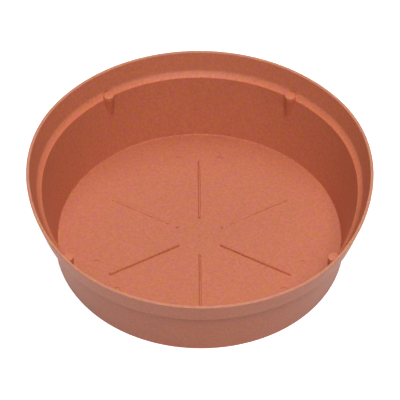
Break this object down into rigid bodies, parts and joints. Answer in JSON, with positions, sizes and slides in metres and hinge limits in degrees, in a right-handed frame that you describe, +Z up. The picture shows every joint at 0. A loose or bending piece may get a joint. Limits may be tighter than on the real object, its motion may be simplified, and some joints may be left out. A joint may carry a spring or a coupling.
{
  "type": "plant saucer",
  "caption": "Deep round saucer with a flared rim, an inner stacking ledge and raised floor ribs that hold a plant pot clear of drained water.",
  "frame": {"origin": "centre of the circle that the foot stands on, at the surface under the saucer", "axes": "+Z up along the bowl's axis, +Y away from the front, +X to the right; one tall floor rib points to the front, -Y, and one to the back"},
  "size_m": [0.22, 0.22, 0.059],
  "materials": {
    "terracotta_plastic": "terracotta-coloured polypropylene with a fine matte mould texture"
  },
  "bodies": {
    "root": {"saucer": "terracotta_plastic"}
  },
  "joints": []
}
